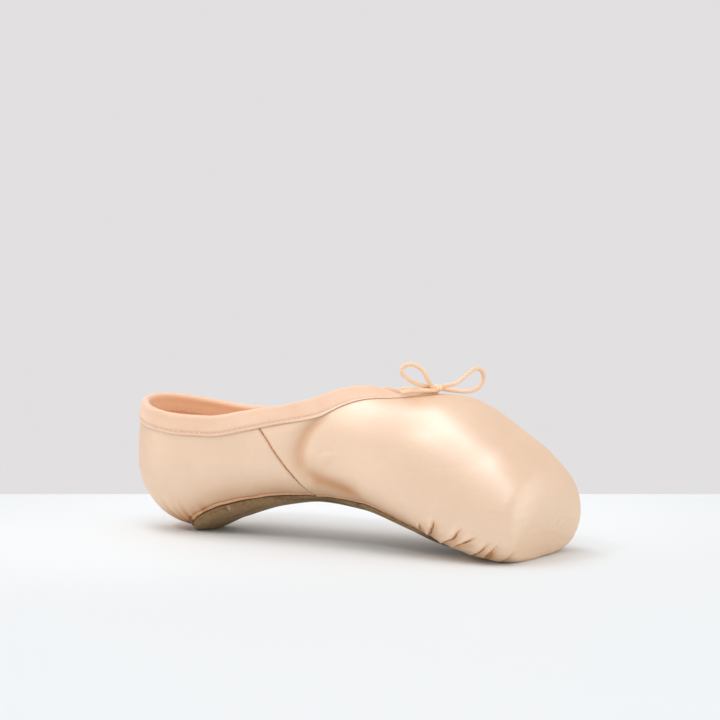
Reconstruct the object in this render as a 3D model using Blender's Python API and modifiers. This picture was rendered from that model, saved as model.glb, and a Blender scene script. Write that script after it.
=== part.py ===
"""Pointe shoe, standing empty on its heel and on the lower edge of its toe box.

Frame: metres, +X to the toe, +Z up, symmetric about the XZ plane.
The origin is on the floor, under the middle of the shoe's length.
All sizes in the tables are in millimetres, x from the back of the heel.
"""
import math

import bmesh
import bpy
import numpy as np
from mathutils import Vector
from mathutils.bvhtree import BVHTree

MM = 0.001

# ---------------------------------------------------------------- sizes, mm
HEEL_R = 32.0          # depth of the rounded heel, from its back to the heel centre
THROAT_X = 145.5       # section in which the throat's tip lies
THROAT_ROUND = 48.0    # length over which the throat closes
PLATFORM_X = 214.5     # section of the toe platform
BOX_EDGE = 11.0        # rounding of the box's edge, along the shoe
BOX_EDGE_TOP = 12.3    # the same edge, from above
BOX_EDGE_SIDE = 7.5    # from the side
BOX_EDGE_LOW = 5.0     # from below
SOLE_THICK = 2.4       # leather outsole
SOLE_SKIVE = 1.2       # the same, at its skived edge
SKIVE_WIDTH = 3.0
SOLE_MARGIN = 6.0      # outsole lies over the turned-in edge of the upper
WINDOW_X = 38.0        # where the turned-in edge opens, under the heel
SOLE_X = (30.8, 179.5)
INSOLE_THICK = 2.2
INSOLE_X = (10.0, 190.0)
HEEL_ROUND = {"outsole": 13.0, "insole": 17.0}   # length of each leaf's rounded heel end
GAP = 0.35             # between pieces that touch
LEAF_GAP = 0.5         # the same, under and over the upper's floor
BINDING_OUT = 9.0      # binding's width outside
BINDING_TIP = 5.5      # the same, at the throat's tip
BINDING_IN = 8.0       # and inside
BINDING_THICK = 0.8
BINDING_THIN = 0.55    # at the throat's tip, where it is pulled flat
CORD_D = 2.0

# The last.  One row for each section square to the bottom line.
#   x, z      where the section's bottom point is
#   tilt      lean of the section towards the toe, degrees
#   half      half width;  wide_at  height of the widest point
#   crest     height of the section, as if the vamp closed over it
#   open      half width of the opening, over half width
#   low_n, top_n  fullness below and above the widest point (2 is an ellipse)
#   wall      thickness of satin, canvas and paste
COLS = ("x", "z", "tilt", "half", "wide_at", "crest", "open", "low_n", "top_n", "wall")
LAST = (
    (0.0, 1.7, 0.0, 30.0, 31.0, 87.0, 0.90, 1.90, 2.4, 1.4),
    (16.0, 1.7, 0.0, 30.0, 31.0, 85.3, 0.92, 1.92, 2.4, 1.4),
    (32.0, 1.7, 0.0, 30.0, 31.5, 82.8, 0.93, 2.00, 2.4, 1.4),
    (53.0, 9.2, 0.0, 28.8, 26.5, 71.2, 0.93, 1.98, 2.4, 1.4),
    (80.0, 17.4, 3.6, 27.5, 20.9, 60.0, 0.85, 2.05, 2.3, 1.4),
    (107.0, 21.0, 4.5, 28.7, 17.0, 55.8, 0.74, 2.25, 2.3, 1.6),
    (133.0, 19.0, 9.5, 32.0, 16.9, 52.6, 0.35, 2.30, 2.3, 2.0),
    (160.0, 12.0, 18.2, 35.3, 16.9, 60.2, 0.35, 2.45, 2.3, 2.6),
    (187.0, 1.9, 20.8, 35.6, 15.2, 55.2, 0.00, 2.55, 2.3, 2.8),
    (214.5, -3.2, 21.0, 34.5, 13.8, 38.1, 0.00, 2.60, 2.4, 2.8),
)

# Half widths of the two leaves under the foot.
SOLE_COLS = ("x", "outsole", "insole")
SOLES = (
    (10.0, 13.0, 15.5),
    (30.0, 15.5, 19.5),
    (48.0, 16.5, 19.5),
    (80.0, 14.5, 17.5),
    (107.0, 13.5, 18.0),
    (149.0, 22.0, 23.5),
    (179.5, 20.0, 23.0),
    (199.0, 18.0, 22.0),
)


# ---------------------------------------------------------------- curves
def pchip(xs, ys, x):
    """Monotone cubic through a table's rows."""
    xs, ys = np.asarray(xs, float), np.asarray(ys, float)
    x = min(max(float(x), xs[0]), xs[-1])
    h = np.diff(xs)
    d = np.diff(ys) / h
    m = np.zeros_like(ys)
    for k in range(1, len(xs) - 1):
        if d[k - 1] * d[k] > 0:
            w1, w2 = 2 * h[k] + h[k - 1], h[k] + 2 * h[k - 1]
            m[k] = (w1 + w2) / (w1 / d[k - 1] + w2 / d[k])
    m[0], m[-1] = d[0], d[-1]
    i = min(max(int(np.searchsorted(xs, x, side="right")) - 1, 0), len(xs) - 2)
    t = (x - xs[i]) / h[i]
    return float((2 * t**3 - 3 * t**2 + 1) * ys[i] + (t**3 - 2 * t**2 + t) * h[i] * m[i]
                 + (-2 * t**3 + 3 * t**2) * ys[i + 1] + (t**3 - t**2) * h[i] * m[i + 1])


def last(name, x):
    j = COLS.index(name)
    return pchip([r[0] for r in LAST], [r[j] for r in LAST], x)


def sole_width(name, x):
    j = SOLE_COLS.index(name)
    return pchip([r[0] for r in SOLES], [r[j] for r in SOLES], x)


def leaf_half(name, x, x0, x1, e0=None, e1=15.0, inset=0.0):
    """Half width of a leaf with rounded ends at x0 and x1."""
    e0 = e0 or HEEL_ROUND[name]
    if x <= x0 or x >= x1:
        return 0.0
    w = sole_width(name, x) - inset
    for d, e in ((x - x0, e0), (x1 - x, e1)):
        if d < e:
            w *= max(0.0, 1 - (1 - d / e) ** 2.2) ** (1 / 2.2)
    return w


def window_half(x):
    """The upper is open underneath, inside the outsole's outline."""
    return leaf_half("outsole", x, WINDOW_X, SOLE_X[1] - SOLE_MARGIN, 12.0, 12.0, SOLE_MARGIN)


def open_ratio(x):
    if x >= THROAT_X:
        return 0.0
    o = last("open", x)
    x0 = THROAT_X - THROAT_ROUND
    if x > x0:
        o *= max(0.0, 1 - ((x - x0) / THROAT_ROUND) ** 2.2) ** (1 / 2.2)
    return o


# ---------------------------------------------------------------- sections
class Section:
    pass


def section(x, base, side, up, half, q=0.0, k=1.0):
    s = Section()
    s.x, s.k, s.half = x, k, half
    s.side, s.up = np.array(side, float), np.array(up, float)
    s.base = np.array(base, float)
    s.wide, s.crest = last("wide_at", x), last("crest", x)
    s.low_n, s.top_n, s.wall = last("low_n", x), last("top_n", x), last("wall", x)
    s.open, s.window = open_ratio(x), window_half(x)
    c = 1 - math.cos(q * math.pi / 2)
    s.half -= c * BOX_EDGE_SIDE
    s.base += c * BOX_EDGE_LOW * s.up
    s.wide -= c * BOX_EDGE_LOW
    s.crest -= c * (BOX_EDGE_LOW + BOX_EDGE_TOP)
    return s


def heel_section(angle):
    """Around the heel centre: 180 is the back, 90 the side."""
    a = math.radians(angle)
    c, d = math.cos(a), math.sin(a)
    reach = 1 / math.hypot(c / HEEL_R, d / last("half", HEEL_R))
    s = section(HEEL_R + reach * c, (HEEL_R, 0, last("z", HEEL_R)), (c, d, 0), (0, 0, 1), reach)
    s.window = 0.0
    return s


def cross_section(x, q=0.0, k=1.0):
    t = math.radians(last("tilt", x))
    return section(x, (x, 0, last("z", x)), (0, 1, 0), (math.sin(t), 0, math.cos(t)),
                   last("half", x), q, k)


def half_arc(s, n=64):
    """From the rim (or the crest) down and round to the bottom (or the window)."""
    top = math.acos(min(1.0, s.open ** (s.top_n / 2))) if s.open > 0 else math.pi / 2
    a = top * (1 - np.linspace(0, 1, n))
    y = s.half * np.abs(np.cos(a)) ** (2 / s.top_n)
    h = s.wide + (s.crest - s.wide) * np.abs(np.sin(a)) ** (2 / s.top_n)
    end = math.pi / 2
    if s.window > 0:
        end = math.acos((s.window / s.half) ** (s.low_n / 2))
    a = end * np.linspace(0, 1, n)[1:]
    y2 = s.half * np.abs(np.cos(a)) ** (2 / s.low_n)
    h2 = s.wide * (1 - np.abs(np.sin(a)) ** (2 / s.low_n))
    y, h = np.concatenate([y, y2]), np.concatenate([h, h2])
    if s.open <= 0:
        y[0] = 0.0
    if s.window <= 0:
        y[-1] = 0.0
    return y, h


def placed(s, y, h):
    if s.k < 1:                                    # a ring inside the platform
        mid = s.crest * 0.5
        y, h = y * s.k, mid + (h - mid) * s.k
    p = s.base[None] + y[:, None] * s.side[None] + h[:, None] * s.up[None]
    p[:, 2] = np.maximum(p[:, 2], 0.0)             # the toe's flat spot on the floor
    return p


def eased(a, b, n, at_end):
    """n steps from a to b that get short towards one end."""
    t = np.arange(1, n + 1) / n
    return list(a + (b - a) * (1 - (1 - t) ** 2 if at_end else t**2))


def all_sections(fan=7, waist=11, vamp=4, toe=4, edge=5, cap=2):
    win_end = SOLE_X[1] - SOLE_MARGIN
    xs = [HEEL_R, 0.5 * (HEEL_R + WINDOW_X), WINDOW_X]
    xs += eased(WINDOW_X, WINDOW_X + 10, 3, False)
    xs += list(np.linspace(WINDOW_X + 10, THROAT_X - 12, waist + 1))[1:]
    xs += eased(THROAT_X - 12, THROAT_X, 4, True)
    xs += list(np.linspace(THROAT_X, win_end - 12, vamp + 1))[1:]
    xs += eased(win_end - 12, win_end, 3, True)
    box = PLATFORM_X - BOX_EDGE
    xs += list(np.linspace(win_end, box, toe + 1))[1:]
    out = [heel_section(180 - 90 * i / fan) for i in range(fan)]
    out += [cross_section(x) for x in xs]
    for i in range(1, edge + 1):
        q = i / edge
        out.append(cross_section(box + BOX_EDGE * math.sin(q * math.pi / 2), q))
    out += [cross_section(PLATFORM_X, 1.0, 1 - i / cap) for i in range(1, cap + 1)]
    return out


def skin(columns=14, **counts):
    """Outer surface of one half of the upper, y >= 0."""
    rows = []
    sections = all_sections(**counts)
    for s in sections:
        y, h = half_arc(s)
        run = np.concatenate([[0], np.cumsum(np.hypot(np.diff(y), np.diff(h)))])
        t = np.linspace(0, run[-1], columns + 1)
        rows.append(placed(s, np.interp(t, run, y), np.interp(t, run, h)))
    return sections, np.array(rows)


def underside(x, y):
    """Point of the last's underside."""
    if x < HEEL_R:
        dx = x - HEEL_R
        r = math.hypot(dx, y)
        if r < 1e-9:
            return np.array([HEEL_R, 0, last("z", HEEL_R)])
        reach = 1 / math.hypot(dx / r / HEEL_R, y / r / last("half", HEEL_R))
        xe = HEEL_R + reach * dx / r
        n = last("low_n", xe)
        h = last("wide_at", xe) * (1 - (1 - min(r / reach, 1) ** n) ** (1 / n))
        return np.array([x, y, last("z", HEEL_R) + h])
    t = math.radians(last("tilt", x))
    n = last("low_n", x)
    h = last("wide_at", x) * (1 - (1 - min(abs(y) / last("half", x), 1) ** n) ** (1 / n))
    return np.array([x + h * math.sin(t), y, last("z", x) + h * math.cos(t)])


def under(x, y, depth):
    """The same point moved along the surface's normal, depth > 0 is down and out."""
    e = 0.6
    a = underside(x + e, y) - underside(x - e, y)
    b = underside(x, y + e) - underside(x, y - e)
    n = np.cross(b, a)
    n /= np.linalg.norm(n)
    return underside(x, y) + depth * n


# ---------------------------------------------------------------- Blender helpers
for old in list(bpy.data.objects):
    bpy.data.objects.remove(old, do_unlink=True)

shoe = bpy.data.collections.new("Pointe shoe")
bpy.context.scene.collection.children.link(shoe)

_, FINE = skin(columns=44, fan=22, waist=40, vamp=14, toe=14, edge=9, cap=3)
MID_X = 0.5 * (FINE[..., 0].min() + FINE[..., 0].max())


def world(p):
    return Vector(((p[0] - MID_X) * MM, p[1] * MM, p[2] * MM))


def material(name, colour, roughness, metallic=0.0):
    m = bpy.data.materials.new(name)
    m.use_nodes = True
    b = m.node_tree.nodes["Principled BSDF"]
    b.inputs["Base Color"].default_value = (*colour, 1)
    b.inputs["Roughness"].default_value = roughness
    b.inputs["Metallic"].default_value = metallic
    return m


SATIN = material("Peach satin", (0.80, 0.57, 0.42), 0.35)
COTTON = material("Peach cotton tape", (0.78, 0.53, 0.39), 0.8)
CORD = material("Peach cord", (0.80, 0.50, 0.33), 0.7)
LEATHER = material("Taupe suede leather", (0.24, 0.17, 0.11), 0.9)
LINING = material("Canvas sock", (0.62, 0.38, 0.24), 0.9)


def loft(bm, rows, closed=False):
    """Faces between rows of points; closed rows join their last point to the first."""
    vs = [[bm.verts.new(world(p)) for p in row] for row in rows]
    n = len(vs[0])
    for a, b in zip(vs, vs[1:]):
        for j in range(n if closed else n - 1):
            k = (j + 1) % n
            bm.faces.new((a[j], b[j], b[k], a[k]))
    return vs


def face_outward(bm):
    """The sign of the volume tells which way the faces point."""
    volume = 0.0
    for f in bm.faces:
        c = [v.co for v in f.verts]
        for i in range(1, len(c) - 1):
            volume += c[0].dot(c[i].cross(c[i + 1])) / 6
    if volume < 0:
        bmesh.ops.reverse_faces(bm, faces=bm.faces)


def mirrored(name, bm, mat, solid_half):
    """Object from a half at y >= 0 that is open at the plane."""
    bmesh.ops.remove_doubles(bm, verts=bm.verts, dist=2e-6)
    bmesh.ops.dissolve_degenerate(bm, edges=bm.edges, dist=1e-6)
    for v in bm.verts:
        if abs(v.co.y) < 1e-6:
            v.co.y = 0.0
    if solid_half:
        face_outward(bm)
    mesh = bpy.data.meshes.new(name)
    bm.to_mesh(mesh)
    bm.free()
    mesh.shade_smooth()
    mesh.materials.append(mat)
    ob = bpy.data.objects.new(name, mesh)
    shoe.objects.link(ob)
    mirror = ob.modifiers.new("Mirror", "MIRROR")
    mirror.use_axis = (False, True, False)
    mirror.use_clip = True
    mirror.merge_threshold = 0.00001
    return ob


# ---------------------------------------------------------------- upper
def build_upper():
    sections, rows = skin()
    bm = bmesh.new()
    wall = bm.verts.layers.float.new("wall")
    vs = [[bm.verts.new(world(p)) for p in row] for row in rows]
    for s, line in zip(sections, vs):
        for v in line:
            v[wall] = s.wall
    for a, b in zip(vs, vs[1:]):
        for j in range(len(a) - 1):
            bm.faces.new((a[j], b[j], b[j + 1], a[j + 1]))
    bmesh.ops.remove_doubles(bm, verts=bm.verts, dist=2e-6)
    thickness = [v[wall] for v in bm.verts]
    thickest = max(thickness)
    ob = mirrored("upper", bm, SATIN, False)
    group = ob.vertex_groups.new(name="wall")
    for v, t in zip(ob.data.vertices, thickness):
        group.add([v.index], t / thickest, "REPLACE")
    solid = ob.modifiers.new("Solidify", "SOLIDIFY")
    solid.thickness = thickest * MM
    solid.offset = -1
    solid.vertex_group = "wall"
    solid.use_rim = True
    return ob


# ---------------------------------------------------------------- leaves under the foot
def insole_gap(x):
    """The sock lies looser towards the toe, over the pleats' turned-in ends."""
    return LEAF_GAP + 0.45 * min(max((x - 150.0) / 20.0, 0.0), 1.0)


def leaf(name, kind, x0, x1, near_depth, far_depth, mat, nx=30, ny=6):
    """A curved leaf between two depths from the last's underside.

    Each depth is a function of x and of how far inside the edge the point lies, 0 to 1.
    Like the upper's toe, no point is lower than its own depth would be on the floor."""
    steps = np.linspace(0, 1, nx + 1)
    xs = x0 + (x1 - x0) * (steps - 0.85 * np.sin(2 * math.pi * steps) / (2 * math.pi))
    near, far = [], []
    for x in xs:
        w = leaf_half(kind, x, x0, x1)
        a, b = [], []
        for j in range(ny + 1):
            v = math.sin(j / ny * math.pi / 2)
            inside = min((1 - v) * w, x - x0, x1 - x, SKIVE_WIDTH) / SKIVE_WIDTH
            inside = inside * inside * (3 - 2 * inside)
            for line, depth in ((a, near_depth(x, inside)), (b, far_depth(x, inside))):
                p = under(x, v * w, depth)
                p[2] = max(p[2], 0.0, -depth)
                line.append(p)
        near.append(a)
        far.append(b)
    for rows in (near, far):             # each end closes in a point on the centre plane
        for i in (0, -1):
            rows[i] = [np.array([rows[i][0][0], 0.0, rows[i][0][2]])] * (ny + 1)
    bm = bmesh.new()
    loft(bm, near)
    loft(bm, far)
    loft(bm, [[a[-1], b[-1]] for a, b in zip(near, far)])
    bmesh.ops.remove_doubles(bm, verts=bm.verts, dist=2e-6)
    bmesh.ops.recalc_face_normals(bm, faces=bm.faces)
    return mirrored(name, bm, mat, True)


# ---------------------------------------------------------------- binding
def surface_tree():
    """The whole outer skin as a tree, for nearest points and normals."""
    points, faces = [], []
    for sign in (1, -1):
        start = len(points)
        rows, cols = FINE.shape[:2]
        for p in FINE.reshape(-1, 3):
            points.append(Vector((p[0], sign * p[1], p[2])))
        for i in range(rows - 1):
            for j in range(cols - 1):
                f = [start + i * cols + j, start + (i + 1) * cols + j,
                     start + (i + 1) * cols + j + 1, start + i * cols + j + 1]
                if len({tuple(round(c, 5) for c in points[k]) for k in f}) < 3:
                    continue
                faces.append(f if sign > 0 else f[::-1])
    return BVHTree.FromPolygons(points, faces)


def rim_line(count):
    """Evenly spaced points along half of the collar's rim, heel to throat."""
    sections, rows = skin(columns=8, fan=24, waist=40, vamp=3, toe=2, edge=2, cap=1)
    run = [r[0] for s, r in zip(sections, rows) if s.open > 0]
    tip = next(r[0] for s, r in zip(sections, rows) if s.open <= 0)
    p = np.array(run + [tip])
    d = np.concatenate([[0], np.cumsum(np.linalg.norm(np.diff(p, axis=0), axis=1))])
    t = np.linspace(0, 1, count + 1)
    t = d[-1] * (t + 0.18 * np.sin(math.pi * t) / math.pi)       # closer together at the throat
    return np.stack([np.interp(t, d, p[:, k]) for k in range(3)], 1)


def build_binding(tree, count=34):
    rim = rim_line(count)
    rings = []
    for i, r in enumerate(rim):
        if i == 0 or i == count:
            along = np.array([0.0, 1.0 if i == 0 else -1.0, 0.0])
        else:
            along = rim[i + 1] - rim[i - 1]
            along /= np.linalg.norm(along)
        _, n, _, _ = tree.find_nearest(Vector(r))
        n = np.array(n)
        n -= along * n.dot(along)
        n /= np.linalg.norm(n)
        away = np.cross(n, along)                    # in the surface, away from the opening
        x_ref = min(max(r[0], 0.0), PLATFORM_X)
        wall = last("wall", x_ref)

        def at(s, depth):
            if s <= 0:
                p = r + away * s
                return p + n * depth
            q, m, _, _ = tree.find_nearest(Vector(r + away * s))
            return np.array(q) + np.array(m) * depth

        near_tip = min(max((x_ref - 112.0) / 40.0, 0.0), 1.0)
        g, t = GAP, BINDING_THICK + (BINDING_THIN - BINDING_THICK) * near_tip
        out = BINDING_OUT + (BINDING_TIP - BINDING_OUT) * near_tip
        outside = [at(s, g + t) for s in (out, 0.67 * out, 0.33 * out, 0.0)]
        inside = [at(s, -(wall + g + t)) for s in (0.0, 3.0, 5.5, BINDING_IN)]
        inner = [at(s, -(wall + g)) for s in (BINDING_IN, 5.5, 3.0, 0.0)]
        outer = [at(s, g) for s in (0.0, 0.33 * out, 0.67 * out, out)]
        fold = [at(-g - t, g + 0.2 * t), at(-g - t, -(wall + g + 0.2 * t))]
        under_fold = [at(-g, -(wall + 0.6 * g)), at(-g, 0.6 * g)]
        ring = outside + fold + inside + inner + under_fold + outer
        if i == 0 or i == count:
            for p in ring:
                p[1] = 0.0
        rings.append(ring)
    bm = bmesh.new()
    loft(bm, rings, closed=True)
    return mirrored("collar_binding", bm, COTTON, True)


# ---------------------------------------------------------------- bow
# The bow lies across the throat.  Its frame: the knot's centre, "along" level and
# 60 degrees from the toe's direction, "out" level and square to it, "up" straight up.
BOW_TURN = 60.0
KNOT = dict(ahead=3.1, above=2.6, along=3.4, out=2.6, up=1.45)   # place, and half sizes
BOW_COLS = ("along", "out", "up")
LOOP_LEFT = (
    (-3.2, 1.2, 1.5), (-5.2, 1.4, 4.2), (-7.0, 1.5, 7.5), (-9.5, 1.4, 10.0), (-12.4, 1.3, 11.4),
    (-14.9, 0.9, 11.6), (-17.2, 0.4, 10.8), (-18.1, -0.2, 9.2), (-17.4, -0.7, 7.3), (-15.4, -1.0, 5.6),
    (-12.4, -1.2, 3.9), (-9.4, -1.3, 2.5), (-6.0, -1.1, 1.5), (-4.3, -1.0, 1.1),
)
LOOP_RIGHT = (
    (4.4, 0.9, 1.3), (6.5, 1.1, 1.5), (9.8, 1.3, 2.3), (13.0, 1.4, 4.3), (15.6, 1.3, 6.2),
    (18.3, 1.1, 7.9), (20.9, 0.8, 8.4), (23.5, 0.3, 7.2), (24.8, -0.2, 5.1), (24.9, -0.7, 2.9),
    (23.9, -1.1, 0.8), (22.3, -1.3, -0.7), (19.6, -1.5, -1.8), (15.1, -1.6, -2.0), (10.9, -1.6, -1.5),
    (7.4, -1.4, -1.0), (4.8, -1.2, -0.5),
)
END_BACK = ((-4.4, -3.4, -0.3), (-7.2, -4.7, -0.3), (-10.7, -6.2, -0.25), (-14.3, -7.8, -0.2))
END_FRONT = ((-4.7, 1.5, -0.5), (-8.5, -0.3, -0.5), (-12.5, -2.3, -0.8), (-16.3, -4.3, -1.4))


def through(points, step):
    """Even points along a smooth curve through a table's rows."""
    p = np.array(points, float)
    ends = np.vstack([2 * p[0] - p[1], p, 2 * p[-1] - p[-2]])
    dense = []
    for i in range(1, len(ends) - 2):
        a, b, c, d = ends[i - 1:i + 3]
        for t in np.linspace(0, 1, 16, endpoint=False):
            dense.append(0.5 * (2 * b + (c - a) * t + (2 * a - 5 * b + 4 * c - d) * t**2
                                + (3 * b - a - 3 * c + d) * t**3))
    dense = np.array(dense + [p[-1]])
    run = np.concatenate([[0], np.cumsum(np.linalg.norm(np.diff(dense, axis=0), axis=1))])
    t = np.linspace(0, run[-1], max(2, round(run[-1] / step)) + 1)
    return np.stack([np.interp(t, run, dense[:, k]) for k in range(3)], 1)


def bow_point(centre, p):
    a = math.radians(BOW_TURN)
    along, out = np.array([math.cos(a), math.sin(a), 0]), np.array([math.sin(a), -math.cos(a), 0])
    return centre + p[0] * along + p[1] * out + np.array([0, 0, p[2]])


def cord(name, centre, table, step=2.2):
    curve = bpy.data.curves.new(name, "CURVE")
    curve.dimensions = "3D"
    curve.bevel_depth = CORD_D / 2 * MM
    curve.bevel_resolution = 2
    curve.use_fill_caps = True
    points = [world(bow_point(centre, p)) for p in through(table, step)]
    line = curve.splines.new("POLY")
    line.points.add(len(points) - 1)
    for q, p in zip(line.points, points):
        q.co = (*p, 1)
    curve.materials.append(CORD)
    ob = bpy.data.objects.new(name, curve)
    shoe.objects.link(ob)
    return ob


def build_bow():
    tip = rim_line(34)[-1]
    centre = tip + np.array([KNOT["ahead"], 0, KNOT["above"]])
    bm = bmesh.new()
    bmesh.ops.create_uvsphere(bm, u_segments=16, v_segments=8, radius=1.0)
    for v in bm.verts:
        x, y, z = v.co
        v.co = world(bow_point(centre, (x * KNOT["along"], y * KNOT["out"], z * KNOT["up"])))
    face_outward(bm)
    mesh = bpy.data.meshes.new("bow_knot")
    bm.to_mesh(mesh)
    bm.free()
    mesh.shade_smooth()
    mesh.materials.append(CORD)
    shoe.objects.link(bpy.data.objects.new("bow_knot", mesh))
    cord("bow_loop_left", centre, LOOP_LEFT)
    cord("bow_loop_right", centre, LOOP_RIGHT)
    cord("bow_end_back", centre, END_BACK)
    cord("bow_end_front", centre, END_FRONT)


build_upper()
leaf("outsole", "outsole", *SOLE_X,
     lambda x, inside: LEAF_GAP,
     lambda x, inside: LEAF_GAP + SOLE_SKIVE + (SOLE_THICK - SOLE_SKIVE) * inside,
     LEATHER)
leaf("insole", "insole", *INSOLE_X,
     lambda x, inside: -last("wall", x) - insole_gap(x),
     lambda x, inside: -last("wall", x) - insole_gap(x) - INSOLE_THICK,
     LINING)
build_binding(surface_tree())
build_bow()
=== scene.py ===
"""Pointe shoe: visual model, floor, studio light and camera."""
import math

import bmesh
import bpy
import numpy as np
from mathutils import Matrix, Vector, noise
from mathutils.bvhtree import BVHTree
from mathutils.kdtree import KDTree

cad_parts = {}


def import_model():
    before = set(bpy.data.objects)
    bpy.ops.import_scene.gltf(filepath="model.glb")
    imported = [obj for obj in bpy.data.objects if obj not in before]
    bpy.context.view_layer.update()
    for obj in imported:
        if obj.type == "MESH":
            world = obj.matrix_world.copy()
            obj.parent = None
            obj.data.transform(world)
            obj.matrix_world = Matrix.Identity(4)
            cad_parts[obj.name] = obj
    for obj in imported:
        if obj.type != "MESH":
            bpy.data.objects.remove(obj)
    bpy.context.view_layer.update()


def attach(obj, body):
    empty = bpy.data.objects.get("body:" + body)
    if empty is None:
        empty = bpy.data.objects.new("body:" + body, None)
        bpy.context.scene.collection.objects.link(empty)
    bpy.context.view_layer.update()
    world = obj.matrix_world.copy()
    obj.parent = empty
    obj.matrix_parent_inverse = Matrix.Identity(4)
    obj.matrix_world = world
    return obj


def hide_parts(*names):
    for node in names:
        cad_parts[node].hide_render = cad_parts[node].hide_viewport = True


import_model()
MM = 0.001


# ================================================================ camera
TARGET = Vector((0.008287, 0.0, 0.084694))
SEAT = Vector((0.71962, -1.12175, 0.19063))
cam_data = bpy.data.cameras.new("Camera")
cam_data.sensor_width = 36.0
cam_data.lens = 144.18
cam_data.clip_start, cam_data.clip_end = 0.05, 20.0
cam = bpy.data.objects.new("Camera", cam_data)
bpy.context.scene.collection.objects.link(cam)
cam.location = SEAT
cam.rotation_euler = (TARGET - SEAT).to_track_quat("-Z", "Y").to_euler()
bpy.context.scene.camera = cam


# ================================================================ sizes, in mm, x from the back of the heel
MID_X = 112.405
HEEL_R = 32.0
THROAT_X = 145.5
THROAT_ROUND = 48.0
PLATFORM_X = 214.5
BOX_EDGE, BOX_EDGE_TOP, BOX_EDGE_SIDE, BOX_EDGE_LOW = 11.0, 12.3, 7.5, 5.0
SOLE_X = (30.8, 179.5)
INSOLE_X = (10.0, 190.0)
HEEL_ROUND = {"outsole": 13.0, "insole": 17.0}
SOLE_THICK, SOLE_SKIVE, INSOLE_THICK = 2.4, 1.2, 2.2
CORD_D = 2.0

# The last, one row for each section square to the bottom line: its place and lean,
# half width, height of the widest point, crest, opening, fullness below and above, wall.
COLS = ("x", "z", "tilt", "half", "wide_at", "crest", "open", "low_n", "top_n", "wall")
LAST = (
    (0.0, 1.7, 0.0, 30.0, 31.0, 87.0, 0.90, 1.90, 2.4, 1.4),
    (16.0, 1.7, 0.0, 30.0, 31.0, 85.3, 0.92, 1.92, 2.4, 1.4),
    (32.0, 1.7, 0.0, 30.0, 31.5, 82.8, 0.93, 2.00, 2.4, 1.4),
    (53.0, 9.2, 0.0, 28.8, 26.5, 71.2, 0.93, 1.98, 2.4, 1.4),
    (80.0, 17.4, 3.6, 27.5, 20.9, 60.0, 0.85, 2.05, 2.3, 1.4),
    (107.0, 21.0, 4.5, 28.7, 17.0, 55.8, 0.74, 2.25, 2.3, 1.6),
    (133.0, 19.0, 9.5, 32.0, 16.9, 52.6, 0.35, 2.30, 2.3, 2.0),
    (160.0, 12.0, 18.2, 35.3, 16.9, 60.2, 0.35, 2.45, 2.3, 2.6),
    (187.0, 1.9, 20.8, 35.6, 15.2, 55.2, 0.00, 2.55, 2.3, 2.8),
    (214.5, -3.2, 21.0, 34.5, 13.8, 38.1, 0.00, 2.60, 2.4, 2.8),
)
# Half widths of the two leaves under the foot.
SOLE_COLS = ("x", "outsole", "insole")
SOLES = (
    (10.0, 13.0, 15.5), (30.0, 15.5, 19.5), (48.0, 16.5, 19.5), (80.0, 14.5, 17.5),
    (107.0, 13.5, 18.0), (149.0, 22.0, 23.5), (179.5, 20.0, 23.0), (199.0, 18.0, 22.0),
)


# ================================================================ curves and sections
def pchip(xs, ys, x):
    """Monotone cubic through a table's rows; x is an array."""
    xs, ys = np.asarray(xs, float), np.asarray(ys, float)
    x = np.clip(np.asarray(x, float), xs[0], xs[-1])
    h = np.diff(xs)
    d = np.diff(ys) / h
    m = np.zeros_like(ys)
    for k in range(1, len(xs) - 1):
        if d[k - 1] * d[k] > 0:
            w1, w2 = 2 * h[k] + h[k - 1], h[k] + 2 * h[k - 1]
            m[k] = (w1 + w2) / (w1 / d[k - 1] + w2 / d[k])
    m[0], m[-1] = d[0], d[-1]
    i = np.clip(np.searchsorted(xs, x, side="right") - 1, 0, len(xs) - 2)
    t = (x - xs[i]) / h[i]
    return ((2 * t**3 - 3 * t**2 + 1) * ys[i] + (t**3 - 2 * t**2 + t) * h[i] * m[i]
            + (-2 * t**3 + 3 * t**2) * ys[i + 1] + (t**3 - t**2) * h[i] * m[i + 1])


FINE_X = np.linspace(0.0, PLATFORM_X, 2146)
FINE_LAST = {c: pchip([r[0] for r in LAST], [r[j] for r in LAST], FINE_X) for j, c in enumerate(COLS)}
FINE_SOLE = {c: pchip([r[0] for r in SOLES], [r[j] for r in SOLES], FINE_X) for j, c in enumerate(SOLE_COLS)}


def last(name, x):
    return np.interp(x, FINE_X, FINE_LAST[name])


def leaf_half(name, x, x0, x1, e1=15.0):
    """Half width of a leaf with rounded ends at x0 and x1."""
    e0 = HEEL_ROUND[name]
    x = np.asarray(x, float)
    w = np.interp(x, FINE_X, FINE_SOLE[name])
    for d, e in ((x - x0, e0), (x1 - x, e1)):
        near = np.clip(1 - d / e, 0, 1)
        w = w * np.maximum(0.0, 1 - near**2.2) ** (1 / 2.2)
    return np.where((x <= x0) | (x >= x1), 0.0, w)


def open_ratio(x):
    if x >= THROAT_X:
        return 0.0
    o = float(last("open", x))
    x0 = THROAT_X - THROAT_ROUND
    if x > x0:
        o *= max(0.0, 1 - ((x - x0) / THROAT_ROUND) ** 2.2) ** (1 / 2.2)
    return o


class Section:
    pass


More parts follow.
